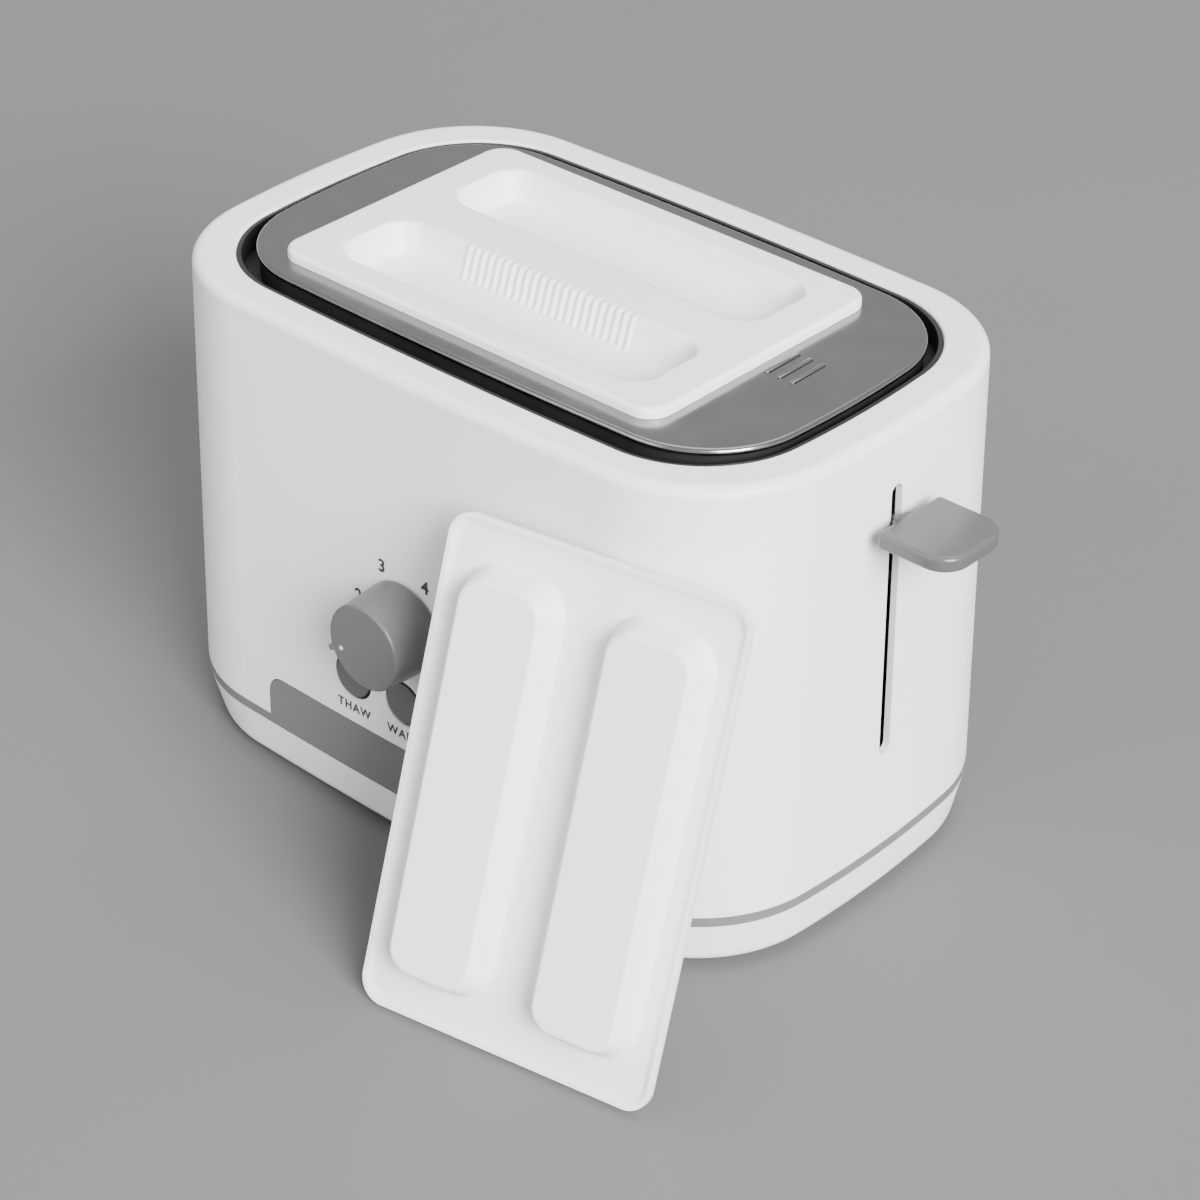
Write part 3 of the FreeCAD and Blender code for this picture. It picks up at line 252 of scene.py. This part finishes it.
def cover_top(x, y):
    """Height of the cover's top face at a place."""
    from_edge = -inside_distance(x, y, COVER_HALF, COVER_CORNER)
    drop = 0.0
    if from_edge < EDGE_ROUND:
        reach = EDGE_ROUND - max(from_edge, 0.0)
        drop = EDGE_ROUND - (EDGE_ROUND ** 2 - reach ** 2) ** 0.5
    return -drop - TROUGH_DEPTH * trough_share(x, y, 0.0, rib_reach(x, y))


def cover_under(x, y):
    """Height of its underside: a border, a shallow recess inside it, and the pads under the troughs."""
    from_edge = -inside_distance(x, y, COVER_HALF, COVER_CORNER)
    recess = (COVER_EDGE - COVER_SKIN) * smooth((from_edge - COVER_BORDER) / BORDER_FADE + BORDER_LEAD)
    depth = TROUGH_DEPTH + TROUGH_SKIN - COVER_SKIN
    return -COVER_EDGE + recess - depth * trough_share(x, y, TROUGH_SKIN)


def grid_lines(half, step, marks):
    """Places along one axis: fine where marks asks for it, a step apart elsewhere, mirrored about zero."""
    lines = [0.0]
    while lines[-1] < half - EDGE_ROUND - 1e-6:
        here = lines[-1]
        fine = min([gap for low, high, gap in marks if low <= here < high], default=step)
        lines.append(min(here + fine, half - EDGE_ROUND))
    lines += [half - EDGE_ROUND * share for share in EDGE_STEPS]
    return [-v for v in reversed(lines[1:])] + lines


def to_corner(u, v):
    """Bends the grid's square corners to the cover's round ones."""
    s = abs(u) - (COVER_HALF[0] - COVER_CORNER)
    t = abs(v) - (COVER_HALF[1] - COVER_CORNER)
    if s <= 0 or t <= 0:
        return u, v
    s /= COVER_CORNER
    t /= COVER_CORNER
    x = COVER_HALF[0] - COVER_CORNER + COVER_CORNER * s * (1 - t * t / 2) ** 0.5
    y = COVER_HALF[1] - COVER_CORNER + COVER_CORNER * t * (1 - s * s / 2) ** 0.5
    return (x if u > 0 else -x), (y if v > 0 else -y)


def cover_mesh(name):
    """One dust cover as a closed skin: top face, rounded edge, and underside with its two pads."""
    xs = grid_lines(COVER_HALF[0], *GRID_X)
    ys = grid_lines(COVER_HALF[1], *GRID_Y)
    columns, rows = len(xs), len(ys)
    verts, faces = [], []
    for height in (cover_top, cover_under):
        for v in ys:
            for u in xs:
                x, y = to_corner(u, v)
                verts.append(Vector((x, y, height(x, y))) * MM)
    layer = columns * rows
    for j in range(rows - 1):
        for i in range(columns - 1):
            a = j * columns + i
            quad = (a, a + 1, a + 1 + columns, a + columns)
            faces.append(quad)
            faces.append(tuple(layer + k for k in reversed(quad)))
    rim = list(range(columns))
    rim += [j * columns + columns - 1 for j in range(1, rows)]
    rim += [(rows - 1) * columns + i for i in range(columns - 2, -1, -1)]
    rim += [j * columns for j in range(rows - 2, 0, -1)]
    for a, b in zip(rim, rim[1:] + rim[:1]):
        faces.append((b, a, layer + a, layer + b))
    piece = mesh_object(name, verts, faces)
    piece.data.shade_smooth()
    piece.data.set_sharp_from_angle(angle=radians(SHARP_ANGLE))
    return piece


def make_covers():
    """The cover on the toaster, and its twin turned up on a short edge with its underside outwards."""
    finish = SLOT_FINISH["cover_plastic"]
    on_top = cover_mesh("cover_on_top")
    leaning = add_object("cover_leaning", on_top.data.copy())
    side = Vector((cos(LEAN_YAW), sin(LEAN_YAW), 0))
    back = Vector((-sin(LEAN_YAW), cos(LEAN_YAW), 0))
    up = back * sin(LEAN_ANGLE) + Vector((0, 0, cos(LEAN_ANGLE)))
    axes = Matrix((up, side, up.cross(side))).transposed().to_4x4()
    on_top.data.transform(Matrix.Translation(COVER_PLACE))
    leaning.data.transform(Matrix.Translation(LEAN_PLACE) @ axes)
    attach(on_top, "dust_cover")
    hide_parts("dust_cover")
    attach(leaning, "spare_cover")
    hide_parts("spare_dust_cover")
    for piece in (on_top, leaning):
        piece.data.materials.append(finish)


# ---- materials ---------------------------------------------------------------
NOISE_MIDDLE = (0.3, 0.7)    # the span of a noise's values that spread() opens out
BROAD_SCALE = 14             # noise and wave scales, per metre
PATCH_SCALE = 60
PAPER_SCALE = 3
INK_SCALE = 900
COIL_SCALE = 500
ROUGH_SPAN = 0.05            # how far the roughness strays on moulded surfaces, and on speckled ones
SPECKLE_SPAN = 0.1
# Painted shade: wound wire is darkened in the groove between two turns.
GROOVE_SHADE_TONE = 0.5            # the tone between two turns of wire, as a share of the colour
BRUSH_TONE = 0.18            # how much darker the brush lines are
BRUSH_ROUGH = 0.4 * BRUSH_TONE


class Shader:
    """A new material with its Principled shader, and short calls that add nodes to it."""

    def __init__(self, name):
        self.material = bpy.data.materials.new(name)
        self.material.use_nodes = True
        self.tree = self.material.node_tree
        self.main = self.tree.nodes["Principled BSDF"]
        self.place = self.tree.nodes.new("ShaderNodeTexCoord").outputs["Object"]

    def set(self, **values):
        for key, value in values.items():
            self.main.inputs[key.replace("_", " ")].default_value = value

    def link(self, source, socket):
        self.tree.links.new(source, self.main.inputs[socket])

    def noise(self, scale, detail=2.0, stretch=(1, 1, 1)):
        mapping = self.tree.nodes.new("ShaderNodeMapping")
        mapping.inputs["Scale"].default_value = stretch
        self.tree.links.new(self.place, mapping.inputs["Vector"])
        noise = self.tree.nodes.new("ShaderNodeTexNoise")
        noise.inputs["Scale"].default_value = scale
        noise.inputs["Detail"].default_value = detail
        self.tree.links.new(mapping.outputs["Vector"], noise.inputs["Vector"])
        return noise.outputs["Fac"]

    def spread(self, value, low, high):
        """Opens the middle of a noise out to the span from low to high."""
        node = self.tree.nodes.new("ShaderNodeMapRange")
        node.inputs["From Min"].default_value = NOISE_MIDDLE[0]
        node.inputs["From Max"].default_value = NOISE_MIDDLE[1]
        node.inputs["To Min"].default_value = low
        node.inputs["To Max"].default_value = high
        self.tree.links.new(value, node.inputs["Value"])
        return node.outputs["Result"]

    def blend(self, value, dark, light):
        node = self.tree.nodes.new("ShaderNodeMix")
        node.data_type = "RGBA"
        node.inputs["A"].default_value = (*dark, 1)
        node.inputs["B"].default_value = (*light, 1)
        self.tree.links.new(value, node.inputs["Factor"])
        return node.outputs["Result"]

    def bump(self, height, strength, distance):
        node = self.tree.nodes.new("ShaderNodeBump")
        node.inputs["Strength"].default_value = strength
        node.inputs["Distance"].default_value = distance
        self.tree.links.new(height, node.inputs["Height"])
        self.link(node.outputs["Normal"], "Normal")


def grey(value):
    return (value, value, value)


def moulded(name, colour, rough, grain=2600, depth=0.12, vary=0.03, metal=0.0):
    """Moulded or blasted surface: a fine even grain and faint, broad changes of tone."""
    s = Shader(name)
    s.set(Metallic=metal)
    dark = tuple(c * (1 - vary) for c in colour)
    s.link(s.blend(s.spread(s.noise(BROAD_SCALE, 3), 0, 1), dark, colour), "Base Color")
    s.link(s.spread(s.noise(PATCH_SCALE, 4), rough - ROUGH_SPAN, rough + ROUGH_SPAN), "Roughness")
    s.bump(s.noise(grain, 2), depth, 0.0002)
    return s.material


def brushed(name, colour, rough, stretch=(25, 1400, 1400), depth=0.12):
    """Metal with fine brush lines along one way."""
    s = Shader(name)
    lines = s.noise(1.0, 4, stretch)
    dark = tuple(c * (1 - BRUSH_TONE) for c in colour)
    s.link(s.blend(s.spread(lines, 0, 1), dark, colour), "Base Color")
    s.link(s.spread(lines, rough - BRUSH_ROUGH, rough + BRUSH_ROUGH), "Roughness")
    s.set(Metallic=1.0)
    s.bump(lines, depth, 0.00005)
    return s.material


def plain_floor():
    """Plain grey studio paper."""
    s = Shader("floor_paper")
    s.link(s.blend(s.spread(s.noise(PAPER_SCALE, 3), 0, 1), *map(grey, FLOOR_TONES)), "Base Color")
    s.set(Roughness=0.75)
    return s.material


def ink(name, value):
    """Printed ink, a little patchy."""
    s = Shader(name)
    s.link(s.blend(s.spread(s.noise(INK_SCALE, 2), 0, 1), grey(value), grey(value * 1.6)), "Base Color")
    s.set(Roughness=0.55)
    return s.material


def speckled(name, dark, light, rough, scale=500):
    """Sheet with flakes or fibres, such as mica or phenolic board."""
    s = Shader(name)
    s.link(s.blend(s.spread(s.noise(scale, 5), 0, 1), dark, light), "Base Color")
    s.link(s.spread(s.noise(scale * 0.5, 2), rough - SPECKLE_SPAN, rough + SPECKLE_SPAN), "Roughness")
    s.bump(s.noise(scale * 2, 2), 0.15, 0.0001)
    return s.material


def wound(name, colour):
    """Enamelled wire, turn on turn, with painted shade in the grooves between turns."""
    s = Shader(name)
    wave = s.tree.nodes.new("ShaderNodeTexWave")
    wave.bands_direction = "Z"
    wave.inputs["Scale"].default_value = COIL_SCALE
    s.tree.links.new(s.place, wave.inputs["Vector"])
    # painted shade: the colour darkens in the groove between each two turns of wire
    s.link(s.blend(wave.outputs["Fac"], tuple(c * GROOVE_SHADE_TONE for c in colour), colour), "Base Color")
    s.set(Metallic=0.8, Roughness=0.35)
    s.bump(wave.outputs["Fac"], 0.5, 0.0002)
    return s.material


SLOT_FINISH = {
    "white_plastic": moulded("white_plastic_look", grey(0.88), 0.42),
    "cover_plastic": moulded("cover_plastic_look", grey(0.90), 0.38),
    "tray_plastic": moulded("tray_plastic_look", grey(0.88), 0.42),
    "trim_plastic": moulded("trim_plastic_look", (0.15, 0.152, 0.15), 0.42),
    "knob_plastic": moulded("knob_plastic_look", (0.112, 0.114, 0.112), 0.34),
    "pointer_plastic": moulded("pointer_plastic_look", grey(0.12), 0.45),
    "lever_plastic": moulded("lever_plastic_look", (0.088, 0.089, 0.088), 0.22, 2200, 0.06),
    "black_plastic": moulded("black_plastic_look", grey(0.008), 0.55),
    "component": moulded("component_look", grey(0.03), 0.35),
    "rubber": moulded("rubber_look", grey(0.04), 0.7, 1500, 0.3),
    "top_steel": moulded("top_steel_look", (0.27, 0.27, 0.27), 0.2, 2400, 0.03, 0.04, 1.0),
    "sheet_steel": brushed("sheet_steel_look", (0.5, 0.5, 0.51), 0.35),
    "galvanised": brushed("galvanised_look", (0.6, 0.61, 0.62), 0.38, (300, 300, 40)),
    "rod_steel": brushed("rod_steel_look", (0.7, 0.7, 0.72), 0.18, (900, 900, 60), 0.05),
    "screw_steel": brushed("screw_steel_look", (0.5, 0.5, 0.5), 0.35, (900, 900, 900)),
    "brass": brushed("brass_look", (0.7, 0.5, 0.22), 0.28, (900, 900, 60), 0.06),
    "ribbon": brushed("ribbon_look", (0.32, 0.29, 0.27), 0.42, (60, 900, 900)),
    "mica": speckled("mica_look", (0.42, 0.36, 0.27), (0.62, 0.56, 0.46), 0.4),
    "circuit_board": speckled("circuit_board_look", (0.25, 0.15, 0.06), (0.34, 0.22, 0.1), 0.5),
    "copper": wound("copper_look", (0.6, 0.25, 0.1)),
}
NODE_SLOT = {part["node"]: part["material_slot"] for part in frame["record"]["subparts"]}


def dress_nodes():
    """Gives every CAD node the finish of its material slot."""
    for name, node in frame["nodes"].items():
        node.data.materials.clear()
        node.data.materials.append(SLOT_FINISH[NODE_SLOT[name]])


# ---- print on the front -------------------------------------------------------
def front_wall(x, z):
    """Distance of the front wall's skin from the middle plane at a place on it."""
    share = (z - FRONT_LOW_Z) / FRONT_RISE
    return FRONT_HALF - FRONT_DRAFT * share - x * x / (2 * FRONT_BULGE)


def printed(name, words, x, z, height, finish):
    """Pad-printed characters on the front wall, centred on a place on it and wrapped to its curve."""
    curve = bpy.data.curves.new(name, "FONT")
    curve.body = words
    curve.size = height / CAPITAL_SHARE
    curve.align_x = "CENTER"
    curve.align_y = "CENTER"
    curve.space_character = LETTER_GAP
    curve.extrude = PRINT_PROUD * 2
    curve.offset = height * STROKE_SHARE
    text = add_object(name, curve)
    text.rotation_euler = (pi / 2, 0, 0)
    text.location = (x, -front_wall(x, z) + PRINT_PROUD, z)
    bpy.context.view_layer.update()
    mesh = bpy.data.meshes.new_from_object(text)
    mesh.transform(text.matrix_world)
    for vert in mesh.vertices:
        vert.co.y += front_wall(x, z) - front_wall(vert.co.x, vert.co.z)
    piece = add_object(name, mesh)
    bpy.data.objects.remove(text)
    mesh.materials.clear()
    mesh.materials.append(finish)
    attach(piece, "housing")


def make_print():
    finish = ink("printed_ink", PRINT_TONE)
    for number in range(1, DIAL_NUMBERS + 1):
        turn = radians(DIAL_START + DIAL_STEP * (number - 1))
        x = KNOB_X + DIAL_RADIUS * sin(turn)
        z = KNOB_Z - DIAL_DROP + DIAL_RADIUS * cos(turn)
        printed("dial_number_%d" % number, str(number), x, z, DIAL_HEIGHT, finish)
    for words, x in zip(BUTTON_LABELS, BUTTON_X):
        printed("label_" + words.lower(), words, x, LABEL_Z, LABEL_HEIGHT, finish)


# ---- small raised details ------------------------------------------------------
def finish_builder(builder, name, place, finish, body):
    """Turns a bmesh into a piece that has one finish and rides on one body."""
    mesh = bpy.data.meshes.new(name)
    builder.to_mesh(mesh)
    builder.free()
    mesh.transform(place)
    mesh.materials.append(finish)
    piece = add_object(name, mesh)
    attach(piece, body)
    return piece


def make_plate_bars():
    """Three rounded bars on the steel top, in the place of the mark in the photo."""
    plate_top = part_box("top_plate")[1][2]
    half = (BAR_HALF_WIDTH, BAR_HALF_LENGTH, BAR_PROUD / 2 + BAR_SINK)
    for number in range(1, BAR_COUNT + 1):
        x = BARS_X + BAR_PITCH * (number - (BAR_COUNT + 1) / 2)
        place = Matrix.Translation((x, BARS_Y, plate_top + BAR_PROUD / 2))
        builder = bmesh.new()
        bmesh.ops.create_cube(builder, size=2.0)
        bmesh.ops.scale(builder, vec=half, verts=builder.verts)
        bmesh.ops.bevel(builder, geom=builder.edges[:], offset=BAR_ROUND, segments=BAR_ROUND_STEPS,
                        affect="EDGES", profile=0.5)
        bar = finish_builder(builder, "plate_bar_%d" % number, place, SLOT_FINISH["top_steel"], "housing")
        bar.data.shade_smooth()


def make_knob_dot():
    """Pale dot on the knob's face beside its pointer."""
    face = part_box("browning_knob")[0][1]
    angle = radians(POINTER_ANGLE)
    centre = (KNOB_X - DOT_REACH * sin(angle), face - PRINT_PROUD, KNOB_Z + DOT_REACH * cos(angle))
    place = Matrix.Translation(centre) @ Matrix.Rotation(pi / 2, 4, "X")
    builder = bmesh.new()
    bmesh.ops.create_cone(builder, cap_ends=True, segments=DOT_SIDES, radius1=DOT_RADIUS, radius2=DOT_RADIUS,
                          depth=PRINT_PROUD * 4)
    finish_builder(builder, "knob_dot", place, ink("dot_ink", DOT_TONE), "knob")


# ---- return springs ------------------------------------------------------------
def coil(verts, faces, centre, radius, low, high):
    """Adds one helix of round wire, closed at both ends."""
    first = len(verts)
    count = SPRING_TURNS * SPRING_STEPS
    for i in range(count + 1):
        turn = 2 * pi * i / SPRING_STEPS
        outward = Vector((cos(turn), sin(turn), 0.0))
        middle = Vector((centre[0], centre[1], low + (high - low) * i / count)) + outward * radius
        for k in range(SPRING_SIDES):
            around = 2 * pi * k / SPRING_SIDES
            verts.append(middle + (outward * cos(around) + Vector((0, 0, sin(around)))) * SPRING_WIRE)
    for i in range(count):
        for k in range(SPRING_SIDES):
            a = first + i * SPRING_SIDES + k
            b = first + i * SPRING_SIDES + (k + 1) % SPRING_SIDES
            faces.append((a, b, b + SPRING_SIDES, a + SPRING_SIDES))
    faces.append(tuple(first + k for k in reversed(range(SPRING_SIDES))))
    faces.append(tuple(first + count * SPRING_SIDES + k for k in range(SPRING_SIDES)))


def make_springs():
    """Two return springs, wound in the box of the CAD springs node, which they replace."""
    low, high = (Vector(corner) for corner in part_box("carriage_springs"))
    radius = (high.x - low.x) / 2 - SPRING_WIRE
    x = (low.x + high.x) / 2
    verts, faces = [], []
    for y in (low.y + radius + SPRING_WIRE, high.y - radius - SPRING_WIRE):
        coil(verts, faces, (x, y), radius, low.z + SPRING_WIRE, high.z - SPRING_WIRE)
    springs = mesh_object("return_springs", verts, faces)
    springs.data.shade_smooth()
    slot = NODE_SLOT["carriage_springs"]
    springs.data.materials.append(SLOT_FINISH[slot])
    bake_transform(springs)
    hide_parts("carriage_springs")


make_camera()
make_studio()
dress_nodes()
make_covers()
make_print()
make_plate_bars()
make_knob_dot()
make_springs()
